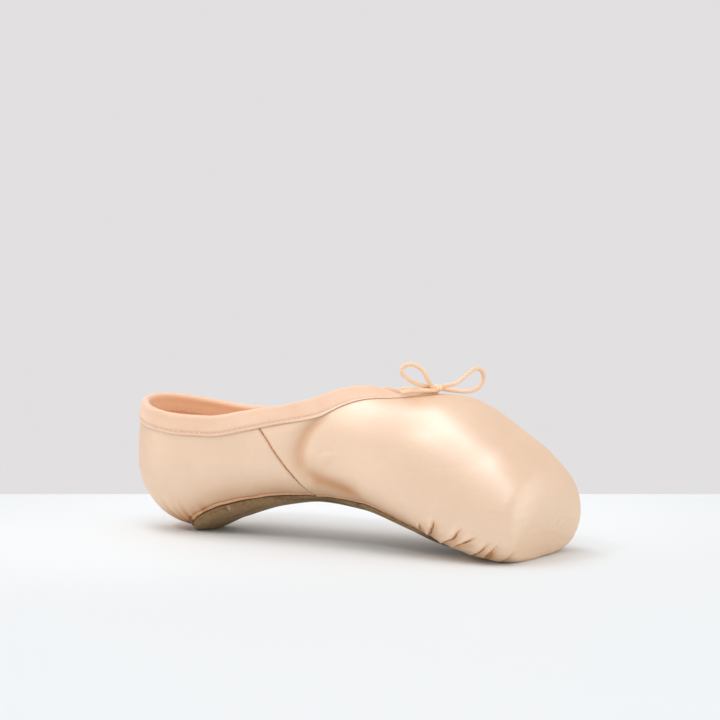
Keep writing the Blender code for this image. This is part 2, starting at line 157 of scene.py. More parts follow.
def section(x, base, side, up, half, q=0.0, k=1.0):
    s = Section()
    s.x, s.k, s.half = x, k, half
    s.side, s.up = np.array(side, float), np.array(up, float)
    s.base = np.array(base, float)
    s.wide, s.crest = float(last("wide_at", x)), float(last("crest", x))
    s.low_n, s.top_n, s.wall = float(last("low_n", x)), float(last("top_n", x)), float(last("wall", x))
    s.open = open_ratio(x)
    c = 1 - math.cos(q * math.pi / 2)
    s.half -= c * BOX_EDGE_SIDE
    s.base += c * BOX_EDGE_LOW * s.up
    s.wide -= c * BOX_EDGE_LOW
    s.crest -= c * (BOX_EDGE_LOW + BOX_EDGE_TOP)
    return s


def heel_section(angle):
    """Around the heel centre: 180 is the back, 90 the side."""
    a = math.radians(angle)
    c, d = math.cos(a), math.sin(a)
    reach = 1 / math.hypot(c / HEEL_R, d / float(last("half", HEEL_R)))
    return section(HEEL_R + reach * c, (HEEL_R, 0, float(last("z", HEEL_R))), (c, d, 0), (0, 0, 1), reach)


def cross_section(x, q=0.0, k=1.0):
    t = math.radians(float(last("tilt", x)))
    return section(x, (x, 0, float(last("z", x))), (0, 1, 0), (math.sin(t), 0, math.cos(t)),
                   float(last("half", x)), q, k)


def half_arc(s, n=150):
    """From the rim, or the crest, down and round to the bottom."""
    top = math.acos(min(1.0, s.open ** (s.top_n / 2))) if s.open > 0 else math.pi / 2
    a = top * (1 - np.linspace(0, 1, n))
    y = s.half * np.abs(np.cos(a)) ** (2 / s.top_n)
    h = s.wide + (s.crest - s.wide) * np.abs(np.sin(a)) ** (2 / s.top_n)
    a = math.pi / 2 * np.linspace(0, 1, n)[1:]
    y2 = s.half * np.abs(np.cos(a)) ** (2 / s.low_n)
    h2 = s.wide * (1 - np.abs(np.sin(a)) ** (2 / s.low_n))
    y, h = np.concatenate([y, y2]), np.concatenate([h, h2])
    if s.open <= 0:
        y[0] = 0.0
    y[-1] = 0.0
    return y, h


def placed(s, y, h):
    if s.k < 1:                                    # a ring inside the platform
        mid = s.crest * 0.5
        y, h = y * s.k, mid + (h - mid) * s.k
    p = s.base[None] + y[:, None] * s.side[None] + h[:, None] * s.up[None]
    p[:, 2] = np.maximum(p[:, 2], 0.0)
    return p


def stations(fan, spans, throat, box, edge, cap):
    """Sections from the heel's back to the middle of the platform."""
    xs = [HEEL_R]
    for a, b, n in spans:
        xs += list(np.linspace(a, b, n + 1))[1:]
    t = np.arange(1, throat + 1) / throat
    xs += list(THROAT_X - 12 * (1 - t) ** 2)
    for a, b, n in box:
        xs += list(np.linspace(a, b, n + 1))[1:]
    out = [heel_section(180 - 90 * i / fan) for i in range(fan)]
    out += [cross_section(x) for x in xs]
    for i in range(1, edge + 1):
        q = i / edge
        out.append(cross_section(PLATFORM_X - BOX_EDGE + BOX_EDGE * math.sin(q * math.pi / 2), q))
    out += [cross_section(PLATFORM_X, 1.0, 1 - i / cap) for i in range(1, cap + 1)]
    return out


SECTIONS = stations(
    34, ((HEEL_R, 44, 10), (44, 78, 26), (78, 110, 46), (110, THROAT_X - 12, 22)), 16,
    ((THROAT_X, 165, 18), (165, PLATFORM_X - BOX_EDGE, 66)), 20, 8)


DENSE_AT = np.linspace(0, 1, 801)
DENSE_SHARE = np.concatenate([[0], np.cumsum(1 + 1.5 * np.exp(-((DENSE_AT[1:] - 0.70) / 0.17) ** 2))])
DENSE_SHARE /= DENSE_SHARE[-1]


def skin(columns):
    """Outer surface all the way round: rim on one side, bottom, rim on the other side."""
    rows = []
    for s in SECTIONS:
        y, h = half_arc(s)
        run = np.concatenate([[0], np.cumsum(np.hypot(np.diff(y), np.diff(h)))])
        t = run[-1] * np.interp(np.linspace(0, 1, columns + 1), DENSE_SHARE, DENSE_AT)
        half = placed(s, np.interp(t, run, y), np.interp(t, run, h))
        other = half[::-1][1:] * np.array([1.0, -1.0, 1.0])
        rows.append(np.vstack([half, other]))
    return np.array(rows)


def welded(rows):
    """Points, faces and the index of each grid place, with coinciding places as one point."""
    flat = rows.reshape(-1, 3)
    keys = np.round(flat, 4) + 0.0
    _, first, index = np.unique(keys, axis=0, return_index=True, return_inverse=True)
    index = np.asarray(index).reshape(rows.shape[:2])
    points = flat[first]
    faces = []
    for a, b in zip(index, index[1:]):
        for j in range(len(a) - 1):
            f = []
            for k in (a[j], b[j], b[j + 1], a[j + 1]):
                if k not in f:
                    f.append(int(k))
            if len(f) > 2:
                faces.append(f)
    return points, faces, index


def normals_of(points, faces):
    n = np.zeros_like(points)
    tri = []
    for f in faces:
        for i in range(1, len(f) - 1):
            tri.append((f[0], f[i], f[i + 1]))
    tri = np.array(tri)
    a, b, c = points[tri[:, 0]], points[tri[:, 1]], points[tri[:, 2]]
    x = np.cross(b - a, c - a)
    for k in range(3):
        np.add.at(n, tri[:, k], x)
    n /= np.maximum(np.linalg.norm(n, axis=1, keepdims=True), 1e-12)
    return n


def world(p):
    p = np.asarray(p, float)
    return (p - np.array([MID_X, 0.0, 0.0])) * MM


def smooth(t):
    t = np.clip(t, 0.0, 1.0)
    return t * t * (3 - 2 * t)


def through(points, step):
    """Even points along a smooth curve through a table's rows."""
    p = np.array(points, float)
    ends = np.vstack([2 * p[0] - p[1], p, 2 * p[-1] - p[-2]])
    dense = []
    for i in range(1, len(ends) - 2):
        a, b, c, d = ends[i - 1:i + 3]
        for t in np.linspace(0, 1, 20, endpoint=False):
            dense.append(0.5 * (2 * b + (c - a) * t + (2 * a - 5 * b + 4 * c - d) * t**2
                                + (3 * b - a - 3 * c + d) * t**3))
    dense = np.array(dense + [p[-1]])
    run = np.concatenate([[0], np.cumsum(np.linalg.norm(np.diff(dense, axis=0), axis=1))])
    t = np.linspace(0, run[-1], max(2, round(run[-1] / step)) + 1)
    return np.stack([np.interp(t, run, dense[:, k]) for k in range(3)], 1)


def rough(points, size, seed=0.0):
    """Smooth noise, about -1 to 1, with features of the size given in mm."""
    off = Vector((seed * 3.1, seed * 1.7, seed * 5.3))
    return np.array([noise.noise(Vector(p) / size + off) for p in points]) * 1.6


# ================================================================ materials
def lin(r, g, b):
    """Colour from 0-255 display values."""
    out = []
    for c in (r, g, b):
        c /= 255
        out.append(c / 12.92 if c <= 0.04045 else ((c + 0.055) / 1.055) ** 2.4)
    return tuple(out)


class Nodes:
    """Short names for making node trees."""

    def __init__(self, name, **sockets):
        self.material = bpy.data.materials.new(name)
        self.material.use_nodes = True
        self.tree = self.material.node_tree
        self.shader = self.tree.nodes["Principled BSDF"]
        for key, value in sockets.items():
            self.shader.inputs[key.replace("_", " ")].default_value = value
        self.place = self.add("ShaderNodeTexCoord").outputs["Object"]

    def add(self, kind, **settings):
        node = self.tree.nodes.new(kind)
        for key, value in settings.items():
            setattr(node, key, value)
        return node

    def link(self, a, b):
        self.tree.links.new(a, b)

    def scaled(self, x, y, z, source=None, turn=(0, 0, 0)):
        m = self.add("ShaderNodeMapping")
        m.inputs["Scale"].default_value = (x, y, z)
        m.inputs["Rotation"].default_value = turn
        self.link(source or self.place, m.inputs["Vector"])
        return m.outputs["Vector"]

    def noise(self, scale, detail=3.0, rough=0.55, source=None, distortion=0.0):
        n = self.add("ShaderNodeTexNoise")
        n.inputs["Scale"].default_value = scale
        n.inputs["Detail"].default_value = detail
        n.inputs["Roughness"].default_value = rough
        n.inputs["Distortion"].default_value = distortion
        self.link(source or self.place, n.inputs["Vector"])
        return n.outputs["Fac"]

    def wave(self, scale, direction="X", distortion=0.0, source=None, profile="SIN"):
        n = self.add("ShaderNodeTexWave", bands_direction=direction, wave_profile=profile)
        n.inputs["Scale"].default_value = scale
        n.inputs["Distortion"].default_value = distortion
        n.inputs["Detail"].default_value = 1.0
        self.link(source or self.place, n.inputs["Vector"])
        return n.outputs["Fac"]

    def remap(self, value, a, b, c=0.0, d=1.0):
        n = self.add("ShaderNodeMapRange")
        for key, v in (("From Min", a), ("From Max", b), ("To Min", c), ("To Max", d)):
            n.inputs[key].default_value = v
        self.link(value, n.inputs["Value"])
        return n.outputs["Result"]

    def maths(self, op, a, b):
        n = self.add("ShaderNodeMath", operation=op)
        for k, v in enumerate((a, b)):
            if isinstance(v, (int, float)):
                n.inputs[k].default_value = v
            else:
                self.link(v, n.inputs[k])
        return n.outputs[0]

    def mix(self, factor, a, b, blend="MIX"):
        n = self.add("ShaderNodeMix", data_type="RGBA", blend_type=blend)
        for key, v in ((0, factor), (6, a), (7, b)):
            if isinstance(v, (int, float)):
                n.inputs[key].default_value = v
            elif isinstance(v, tuple):
                n.inputs[key].default_value = (*v, 1.0)
            else:
                self.link(v, n.inputs[key])
        return n.outputs[2]

    def attribute(self, name):
        n = self.add("ShaderNodeAttribute", attribute_name=name)
        return n.outputs["Fac"]

    def uv(self):
        return self.add("ShaderNodeTexCoord").outputs["UV"]

    def colour(self, value):
        self.link(value, self.shader.inputs["Base Color"])

    def roughness(self, value):
        self.link(value, self.shader.inputs["Roughness"])

    def bump(self, *layers):
        """Layers of (height, strength, distance in metres), coarse to fine."""
        normal = None
        for height, strength, distance in layers:
            n = self.add("ShaderNodeBump")
            n.inputs["Strength"].default_value = strength
            n.inputs["Distance"].default_value = distance
            self.link(height, n.inputs["Height"])
            if normal is not None:
                self.link(normal, n.inputs["Normal"])
            normal = n.outputs["Normal"]
        self.link(normal, self.shader.inputs["Normal"])


def satin_material():
    """Peach satin: glossy warp floats, a fine weft and a slow drift of colour."""
    m = Nodes("Peach satin", Roughness=0.42, IOR=2.3, Specular_IOR_Level=0.9, Metallic=0.06, Sheen_Weight=0.05,
              Sheen_Roughness=0.5)
    drift = m.noise(26.0, 4.0, 0.6)
    fine = m.noise(260.0, 3.0, 0.6)
    base = m.mix(m.remap(drift, 0.3, 0.7), lin(228, 187, 145), lin(235, 196, 155))
    base = m.mix(m.remap(fine, 0.35, 0.75, 0.0, 0.22), base, lin(221, 175, 129))
    # painted shade: where the shade attribute is high (creases, seams, pleats, the wing hollow, along the sole) the
    # satin turns darker brown and less glossy
    shade = m.attribute("shade")
    base = m.mix(m.remap(shade, 0.0, 0.7, 0.0, 0.85), base, lin(196, 134, 78))
    base = m.mix(m.remap(shade, 0.7, 1.0, 0.0, 0.85), base, lin(118, 72, 36))
    m.link(m.remap(shade, 0.0, 0.8, 0.9, 0.12), m.shader.inputs["Specular IOR Level"])
    dirt = m.attribute("dirt")
    worn = m.noise(420.0, 4.0, 0.7)
    base = m.mix(m.maths("MULTIPLY", dirt, m.remap(worn, 0.4, 0.7)), base, lin(120, 84, 62))
    m.colour(base)
    gloss = m.noise(140.0, 3.0, 0.5, m.scaled(0.35, 1.0, 1.0))
    m.roughness(m.remap(gloss, 0.3, 0.7, 0.40, 0.47))
    warp = m.wave(1500.0, "Z", 3.0)
    weft = m.noise(2600.0, 2.0, 0.6, m.scaled(0.25, 1.0, 1.0))
    slub = m.noise(300.0, 3.0, 0.6, m.scaled(0.3, 1.0, 1.0))
    m.bump((slub, 0.36, 0.0003), (warp, 0.08, 0.00006), (weft, 0.18, 0.00006))
    return m.material


def lining_material():
    """Brushed cotton lining, mottled where paste has come through."""
    m = Nodes("Brushed lining", Roughness=0.92, Specular_IOR_Level=0.18, Sheen_Weight=0.35,
              Sheen_Roughness=0.6)
    mottle = m.noise(70.0, 5.0, 0.65)
    nap = m.noise(900.0, 3.0, 0.7)
    base = m.mix(m.remap(mottle, 0.38, 0.62), lin(252, 208, 160), lin(255, 232, 200))
    base = m.mix(m.remap(nap, 0.3, 0.8, 0.0, 0.4), base, lin(250, 198, 152))
    m.colour(base)
    thread_a, thread_b = m.wave(620.0, "X", 1.0), m.wave(620.0, "Z", 1.0)
    m.bump((mottle, 0.3, 0.0005), (m.maths("MULTIPLY", thread_a, thread_b), 0.3, 0.0001), (nap, 0.5, 0.00012))
    return m.material


def cotton_material():
    """Matt cotton tape with a fine cross rib; UV runs along and across the tape in metres."""
    m = Nodes("Peach cotton tape", Roughness=0.82, Specular_IOR_Level=0.25, Sheen_Weight=0.25,
              Sheen_Roughness=0.5)
    uv = m.uv()
    drift = m.noise(45.0, 4.0, 0.6)
    rib = m.wave(640.0, "X", 0.6, uv)
    cross = m.wave(900.0, "Y", 0.8, uv)
    base = m.mix(m.remap(drift, 0.3, 0.7), lin(236, 198, 168), lin(244, 210, 183))
    base = m.mix(m.remap(rib, 0.0, 1.0, 0.14, 0.0), base, lin(206, 160, 128))
    base = m.mix(m.attribute("inner"), base, lin(255, 212, 172))
    base = m.mix(m.attribute("shade"), base, lin(196, 146, 112))
    base = m.mix(m.attribute("lit"), base, lin(250, 228, 206))
    m.colour(base)
    fuzz = m.noise(1800.0, 3.0, 0.7)
    m.bump((rib, 0.45, 0.00012), (cross, 0.2, 0.00006), (fuzz, 0.35, 0.00008))
    return m.material


def cord_material(name="Peach cord"):
    m = Nodes(name, Roughness=0.72, Specular_IOR_Level=0.25, Sheen_Weight=0.3, Sheen_Roughness=0.5)
    uv = m.uv()
    ply = m.wave(420.0, "DIAGONAL", 0.5, uv)
    fuzz = m.noise(1900.0, 3.0, 0.7)
    drift = m.noise(120.0, 3.0, 0.6)
    base = m.mix(m.remap(drift, 0.3, 0.7), lin(250, 212, 174), lin(255, 228, 198))
    base = m.mix(m.remap(ply, 0.0, 0.7, 0.32, 0.0), base, lin(232, 176, 128))
    m.colour(base)
    m.bump((ply, 0.5, 0.00018), (fuzz, 0.35, 0.00008))
    return m.material


def suede_material():
    """Taupe split leather: napped grain, lighter worn fibres and dark drawn-out streaks."""
    m = Nodes("Taupe suede leather", Roughness=0.93, Specular_IOR_Level=0.12, Sheen_Weight=0.08,
              Sheen_Roughness=0.7)
    cloud = m.noise(60.0, 5.0, 0.65)
    grain = m.noise(700.0, 4.0, 0.7)
    streak = m.noise(130.0, 3.0, 0.6, m.scaled(0.16, 1.0, 0.6), 0.6)
    base = m.mix(m.remap(cloud, 0.3, 0.7), lin(112, 82, 46), lin(140, 108, 68))
    base = m.mix(m.remap(grain, 0.3, 0.75, 0.0, 0.7), base, lin(172, 146, 108))
    base = m.mix(m.remap(streak, 0.52, 0.66, 0.0, 0.75), base, lin(78, 56, 36))
    # a pale nick near the heel, in the shoe's own place
    nick = m.add("ShaderNodeVectorMath", operation="DISTANCE")
    m.link(m.scaled(2000.0, 620.0, 620.0), nick.inputs[0])
    nick.inputs[1].default_value = (-109.0, -10.0, 8.2)
    base = m.mix(m.remap(nick.outputs["Value"], 0.3, 1.3, 0.85, 0.0), base, lin(206, 184, 150))
    m.colour(base)
    m.bump((cloud, 0.3, 0.0006), (streak, 0.25, 0.0004), (grain, 0.8, 0.00025))
    return m.material


def sock_material():
    """Woven canvas sock, its tone drifting in soft clouds."""
    m = Nodes("Canvas sock", Roughness=0.9, Specular_IOR_Level=0.2, Sheen_Weight=0.2)
    a, b = m.wave(420.0, "X", 0.8), m.wave(420.0, "Y", 0.8)
    weave = m.maths("MAXIMUM", a, b)
    cloud = m.noise(30.0, 4.0, 0.6)
    base = m.mix(m.remap(cloud, 0.3, 0.7), lin(214, 156, 118), lin(230, 178, 140))
    base = m.mix(m.remap(weave, 0.3, 1.0, 0.35, 0.0), base, lin(178, 120, 84))
    m.colour(base)
    m.bump((cloud, 0.2, 0.0006), (weave, 0.6, 0.0002), (m.noise(1500.0), 0.3, 0.0001))
    return m.material


def thread_material(name, colour, dark):
    m = Nodes(name, Roughness=0.6, Specular_IOR_Level=0.3, Sheen_Weight=0.2)
    ply = m.noise(1600.0, 2.0, 0.5)
    m.colour(m.mix(m.remap(ply, 0.3, 0.7), colour, dark))
    m.bump((ply, 0.4, 0.00008))
    return m.material


SATIN, LINING, COTTON, CORD = satin_material(), lining_material(), cotton_material(), cord_material()
SUEDE, SOCK = suede_material(), sock_material()
TAPE_THREAD = thread_material("Tape thread", lin(250, 226, 206), lin(222, 186, 160))
SEAM_THREAD = thread_material("Seam thread", lin(176, 116, 66), lin(132, 80, 42))


# ================================================================ mesh helpers
def add_object(name, points, faces, materials, smooth_angle=None):
    mesh = bpy.data.meshes.new(name)
    mesh.from_pydata([tuple(p) for p in points], [], faces)
    mesh.validate()
    mesh.shade_smooth()
    if smooth_angle:
        mesh.set_sharp_from_angle(angle=math.radians(smooth_angle))
    for m in materials:
        mesh.materials.append(m)
    ob = bpy.data.objects.new(name, mesh)
    bpy.context.scene.collection.objects.link(ob)
    return ob


def outward(ob):
    bm = bmesh.new()
    bm.from_mesh(ob.data)
    bmesh.ops.recalc_face_normals(bm, faces=bm.faces)
    if bm.calc_volume(signed=True) < 0:
        bmesh.ops.reverse_faces(bm, faces=bm.faces)
    bm.to_mesh(ob.data)
    bm.free()


def set_attribute(ob, name, values):
    layer = ob.data.attributes.new(name, "FLOAT", "POINT")
    layer.data.foreach_set("value", np.asarray(values, np.float32))


def set_uv(ob, uv):
    """One pair for each point."""
    layer = ob.data.uv_layers.new(name="UVMap")
    loops = np.zeros(len(ob.data.loops), np.int32)
    ob.data.loops.foreach_get("vertex_index", loops)
    layer.data.foreach_set("uv", np.asarray(uv, np.float32)[loops].ravel())


def tube(path, radius, segments=16, flat=1.0, plies=0, twist=0.0, depth=0.0, taper=0.0):
    """A capped tube along a path, with plies twisted about it; returns points, faces, uv."""
    path = np.asarray(path, float)
    tan = np.gradient(path, axis=0)
    tan /= np.linalg.norm(tan, axis=1, keepdims=True)
    n = np.cross(tan[0], np.array([0.0, 0.0, 1.0]))
    if np.linalg.norm(n) < 1e-6:
        n = np.array([1.0, 0.0, 0.0])
    points, uv, faces = [], [], []
    run = np.concatenate([[0], np.cumsum(np.linalg.norm(np.diff(path, axis=0), axis=1))])
    for i, (p, t) in enumerate(zip(path, tan)):
        n = n - t * n.dot(t)
        n /= np.linalg.norm(n)
        b = np.cross(t, n)
        end = min(run[i], run[-1] - run[i])
        r = radius * (1 - taper * math.exp(-(end / (0.35 * radius)) ** 2))
        for j in range(segments):
            a = 2 * math.pi * j / segments
            rr = r * (1 + depth * math.cos(plies * (a - twist * run[i] / MM)))
            points.append(p + n * math.cos(a) * rr + b * math.sin(a) * rr * flat)
            uv.append((run[i], j / segments * 2 * math.pi * radius))
    k = len(path)
    for i in range(k - 1):
        for j in range(segments):
            j2 = (j + 1) % segments
            faces.append([i * segments + j, i * segments + j2, (i + 1) * segments + j2, (i + 1) * segments + j])
    for i, flip in ((0, True), (k - 1, False)):
        c = len(points)
        points.append(path[i] + tan[i] * (0.12 * radius) * (-1 if flip else 1))
        uv.append((run[i], 0.0))
        for j in range(segments):
            j2 = (j + 1) % segments
            f = [i * segments + j, i * segments + j2, c]
            faces.append(f[::-1] if flip else f)
    return points, faces, uv


def pills(items, segments=6):
    """Small rounded stitches: (centre, along, normal, length, radius), in metres."""
    points, faces = [], []
    profile = ((-0.5, 0.15), (-0.42, 0.7), (-0.2, 1.0), (0.0, 1.05), (0.2, 1.0), (0.42, 0.7), (0.5, 0.15))
    for c, a, n, length, radius in items:
        b = np.cross(n, a)
        start = len(points)
        for s, r in profile:
            arch = (1 - (2 * s) ** 2) * radius * 0.5
            for j in range(segments):
                t = 2 * math.pi * j / segments
                points.append(c + a * s * length + n * (math.sin(t) * r * radius + arch - radius * 0.35)
                              + b * math.cos(t) * r * radius)
        for i in range(len(profile) - 1):
            for j in range(segments):
                j2 = (j + 1) % segments
                faces.append([start + i * segments + j, start + i * segments + j2,
                              start + (i + 1) * segments + j2, start + (i + 1) * segments + j])
        faces.append([start + j for j in range(segments)][::-1])
        faces.append([start + (len(profile) - 1) * segments + j for j in range(segments)])
    return points, faces


# ================================================================ rim of the collar
def rim_points():
    """Half of the rim, from the heel's back to the throat's tip, in fine even steps."""
    ss = [heel_section(180 - 90 * i / 60) for i in range(60)]
    xs = list(np.linspace(HEEL_R, THROAT_X - 14, 160))
    t = np.arange(1, 61) / 60
    xs += list(THROAT_X - 14 * (1 - t) ** 2)
    ss += [cross_section(x) for x in xs]
    out = []
    for s in ss:
        y, h = half_arc(s, 8)
        out.append(placed(s, y[:1], h[:1])[0])
    return np.array(out)


def even(points, step):
    run = np.concatenate([[0], np.cumsum(np.linalg.norm(np.diff(points, axis=0), axis=1))])
    t = np.linspace(0, run[-1], round(run[-1] / step) + 1)
    return np.stack([np.interp(t, run, points[:, k]) for k in range(3)], 1)


RIM = rim_points()
RIM[0, 1] = 0.0
TIP = RIM[-1] * np.array([1.0, 0.0, 1.0])


# ================================================================ drawstring bow: the cords come first
# The bow's frame: its centre over the throat's tip; "along" is level and 60 degrees from
# the toe's direction, "out" level and square to it, "up" straight up.
BOW_TURN = math.radians(60.0)
BOW_CENTRE = TIP + np.array([3.1, 0.0, 2.6])
BOW_COLS = ("along", "out", "up")
LOOP_LEFT = (
    (-3.2, 1.2, 1.5), (-5.2, 1.4, 4.2), (-7.0, 1.5, 7.5), (-9.5, 1.4, 10.0), (-12.4, 1.3, 11.4),
    (-14.9, 0.9, 11.6), (-17.2, 0.4, 10.8), (-18.1, -0.2, 9.2), (-17.4, -0.7, 7.3), (-15.4, -1.0, 5.6),
    (-12.4, -1.2, 3.9), (-9.4, -1.3, 2.5), (-6.0, -1.1, 1.5), (-4.3, -1.0, 1.1),
)
LOOP_RIGHT = (
    (4.4, 0.9, 1.3), (6.5, 1.1, 1.5), (9.8, 1.3, 2.3), (13.0, 1.4, 4.3), (15.6, 1.3, 6.2),
    (18.3, 1.1, 7.9), (20.9, 0.8, 8.4), (23.5, 0.3, 7.2), (24.8, -0.2, 5.1), (24.9, -0.7, 2.9),
    (23.9, -1.1, 0.8), (22.3, -1.3, -0.7), (19.6, -1.5, -1.8), (15.1, -1.6, -2.0), (10.9, -1.6, -1.5),
    (7.4, -1.4, -1.0), (4.8, -1.2, -0.5),
)
END_BACK = ((-4.4, -3.4, -0.3), (-7.2, -4.7, -0.3), (-10.7, -6.2, -0.25), (-14.3, -7.8, -0.2))
END_FRONT = ((-4.7, 1.5, -0.5), (-8.5, -0.3, -0.5), (-12.5, -2.3, -0.8), (-16.3, -4.3, -1.4))
FROM_CASING_LEFT = ((-1.2, -2.0, -2.2), (-0.9, -0.8, -1.0), (-1.6, 0.5, 0.4))
FROM_CASING_RIGHT = ((-0.6, -1.7, -2.1), (0.5, -0.4, -0.9), (2.3, 0.5, 0.7))
KNOT_LEFT = ((-2.4, -0.9, 0.6), (-0.6, -0.7, 0.2), (0.7, -1.2, -0.1), (0.4, -2.1, -0.3), (-1.6, -2.7, -0.35))
KNOT_RIGHT = ((2.6, -1.0, -0.4), (0.6, -0.1, -0.5), (-1.6, 1.1, -0.5))


def bow_point(p):
    c, s = math.cos(BOW_TURN), math.sin(BOW_TURN)
    return BOW_CENTRE + np.array([p[0] * c + p[1] * s, p[0] * s - p[1] * c, p[2]])


def bow_cord(name, table, nodes):
    path = world([bow_point(p) for p in through(table, 0.4)])
    points, faces, uv = tube(path, CORD_D / 2 * MM, 20, 0.86, 3, 1.15, 0.055)
    ob = add_object(name, points, faces, [CORD])
    set_uv(ob, uv)
    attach(ob, "root")
    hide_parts(*nodes)
    return ob


def bow_knot():
    """Two and a bit turns of cord pulled tight round a core."""
    t = np.linspace(0, 1, 130)
    turn = 2 * math.pi * 2.3 * t + 0.6
    line = np.stack([-1.6 + 3.2 * t + 0.25 * np.sin(turn), 1.65 * np.cos(turn), 0.78 * np.sin(turn) + 0.12], 1)
    path = world([bow_point(p) for p in line])
    points, faces, uv = tube(path, 0.98 * MM, 18, 0.9, 3, 1.15, 0.055, 0.5)
    points, uv = list(points), list(uv)
    bm = bmesh.new()
    bmesh.ops.create_uvsphere(bm, u_segments=20, v_segments=12, radius=1.0)
    start = len(points)
    bm.verts.ensure_lookup_table()
    for v in bm.verts:
        x, y, z = v.co
        bulge = 1 + 0.06 * math.sin(5 * x + 3 * y)
        points.append(world(bow_point((2.6 * x * bulge, 1.6 * y, 0.95 * z * bulge))))
        uv.append((x * MM * 2.7, y * MM * 2.0))
    for f in bm.faces:
        faces.append([start + v.index for v in f.verts])
    bm.free()
    ob = add_object("bow_knot_turns", points, faces, [CORD])
    set_uv(ob, uv)
    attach(ob, "root")
    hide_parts("bow_knot")
    return ob


KNOT = bow_knot()
bow_cord("bow_cord_left", FROM_CASING_LEFT + LOOP_LEFT + KNOT_LEFT + END_BACK,
         ("bow_loop_left", "bow_end_back"))
bow_cord("bow_cord_right", FROM_CASING_RIGHT + LOOP_RIGHT + KNOT_RIGHT + END_FRONT,
         ("bow_loop_right", "bow_end_front"))


# ================================================================ features of the satin
# Lines on the near side, in mm; the far side has them mirrored, a little weaker or stronger.
LINE_COLS = ("x", "y", "z")
SIDE_SEAM = (
    (79.0, -25.8, 57.0), (82.7, -26.3, 52.4), (87.4, -27.1, 47.6), (91.1, -27.6, 43.2), (95.4, -27.9, 38.6),
    (99.5, -27.6, 34.0), (102.4, -26.0, 30.4), (104.8, -22.2, 26.4), (105.6, -18.5, 24.2), (105.5, -12.6, 22.2),
)
WING_CREASE = (
    (120.1, -22.9, 63.8), (115.6, -24.4, 61.4), (110.8, -26.2, 56.7), (107.6, -27.2, 52.5),
    (105.4, -28.0, 47.3), (104.5, -28.3, 42.3), (105.7, -28.5, 37.7), (109.1, -27.9, 33.3), (113.0, -26.5, 29.0),
)
WING_LOW = ((106.0, -28.0, 35.0), (111.8, -27.8, 32.1), (122.3, -28.0, 29.6), (133.3, -28.4, 27.1), (143.0, -30.0, 24.0))
# Pleats, from their outer end to the sole: points, height, width.
PLEATS = (
    (((173.5, -32.6, 17.5), (171.9, -31.7, 15.4), (169.8, -26.6, 12.8)), 0.8, 2.6),
    (((182.5, -35.2, 20.5), (180.8, -34.9, 18.1), (179.9, -34.6, 15.8), (177.4, -31.3, 13.0), (172.5, -25.5, 11.0)), 1.3, 3.2),
    (((197.5, -35.4, 17.5), (193.9, -35.2, 15.1), (190.9, -34.5, 11.7), (185.0, -31.1, 9.5), (178.0, -24.0, 7.0)), 1.2, 3.0),
    (((204.5, -34.9, 14.0), (199.9, -34.7, 11.5), (196.6, -34.2, 10.1), (193.7, -33.6, 9.1), (184.5, -25.5, 5.5)), 1.0, 2.6),
    (((212.0, -34.4, 13.0), (207.3, -34.2, 9.4), (202.5, -32.5, 6.1), (193.1, -22.9, 2.9), (184.0, -14.0, 2.0)), 1.1, 3.0),
    (((215.5, -34.2, 13.0), (212.6, -34.0, 10.2), (209.0, -32.8, 6.7), (201.4, -27.6, 2.8), (188.0, -13.5, 1.0)), 1.0, 2.6),
    (((214.0, -33.6, 9.0), (209.9, -32.6, 6.3), (204.7, -28.9, 3.2), (192.0, -14.0, 0.5)), 0.8, 2.4),
    (((218.8, -29.6, 7.4), (216.4, -28.1, 5.4), (212.9, -27.2, 2.8), (200.0, -17.0, 0.3)), 0.9, 2.6),
)
# Grooves between the pleats that lie flat under the box: y at the sole, y at the toe, depth.
UNDER_FOLDS = ((-10.0, -22.0, 0.8), (-7.0, -16.0, 0.7), (-4.5, -10.5, 0.9), (-1.5, -4.0, 0.7),
               (1.8, 3.5, 0.8), (4.2, 10.0, 0.7), (7.2, 15.5, 0.9), (10.0, 21.5, 0.8))


def near_line(points, normals, line, reach):
    """For the points within reach of a line: their index, signed distance and share of its run."""
    line = through(line, 1.2)
    lo, hi = line.min(0) - reach, line.max(0) + reach
    pick = np.where(((points > lo) & (points < hi)).all(1))[0]
    p = points[pick]
    best = np.full(len(p), 1e9)
    sign, share = np.zeros(len(p)), np.zeros(len(p))
    run = np.concatenate([[0], np.cumsum(np.linalg.norm(np.diff(line, axis=0), axis=1))])
    for i in range(len(line) - 1):
        a, d = line[i], line[i + 1] - line[i]
        raw = ((p - a) @ d) / d.dot(d)
        t = np.clip(raw, 0, 1)
        off = p - a - t[:, None] * d
        dist = np.linalg.norm(off, axis=1)
        closer = dist < best
        side = (np.cross(d, off) * normals[pick]).sum(1)
        best = np.where(closer, dist, best)
        sign = np.where(closer, np.sign(side), sign)
        share = np.where(closer, (run[i] + t * (run[i + 1] - run[i])) / run[-1], share)
    keep = best < reach
    return pick[keep], (best * sign)[keep], share[keep], run[-1]


def sole_outline():
    xs = np.concatenate([SOLE_X[0] + 18 * np.linspace(0, 1, 60) ** 2, np.linspace(SOLE_X[0] + 18.5, SOLE_X[1] - 16, 200),
                         SOLE_X[1] - 15.5 * (1 - np.linspace(0, 1, 60)) ** 2])
    w = leaf_half("outsole", xs, *SOLE_X)
    return underside(xs, w)


